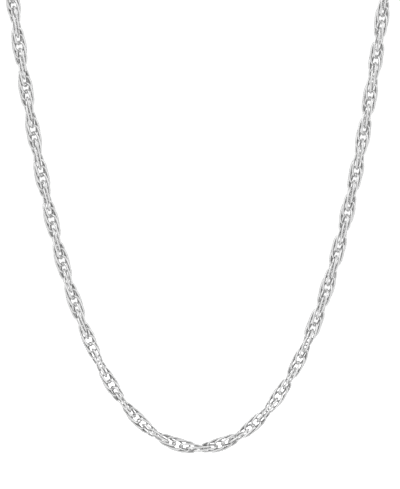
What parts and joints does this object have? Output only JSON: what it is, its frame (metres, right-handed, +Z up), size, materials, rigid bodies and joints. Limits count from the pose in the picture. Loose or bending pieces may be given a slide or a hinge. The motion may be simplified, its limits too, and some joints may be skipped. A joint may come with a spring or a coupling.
{
  "type": "singapore chain necklace",
  "caption": "Closed necklace of twisted curb links, each passing through the next three, hanging in a deep catenary below a neck-sized ring, with a round clasp at the nape.",
  "frame": {"origin": "middle of the nape, on the middle line of the closed clasp, where the neck carries the necklace", "axes": "+Z up, -Y the way the wearer faces, +X the wearer's left; the front hangs in a plane square to Y"},
  "size_m": [0.1068, 0.0795, 0.1342],
  "materials": {
    "chain_silver": "polished, links lightly flattened and burnished on their outer sides",
    "clasp_silver": "polished"
  },
  "bodies": {
    "root": {"chain": "chain_silver", "jump_ring": "clasp_silver", "clasp": "clasp_silver", "catch_ring": "clasp_silver"}
  },
  "joints": []
}
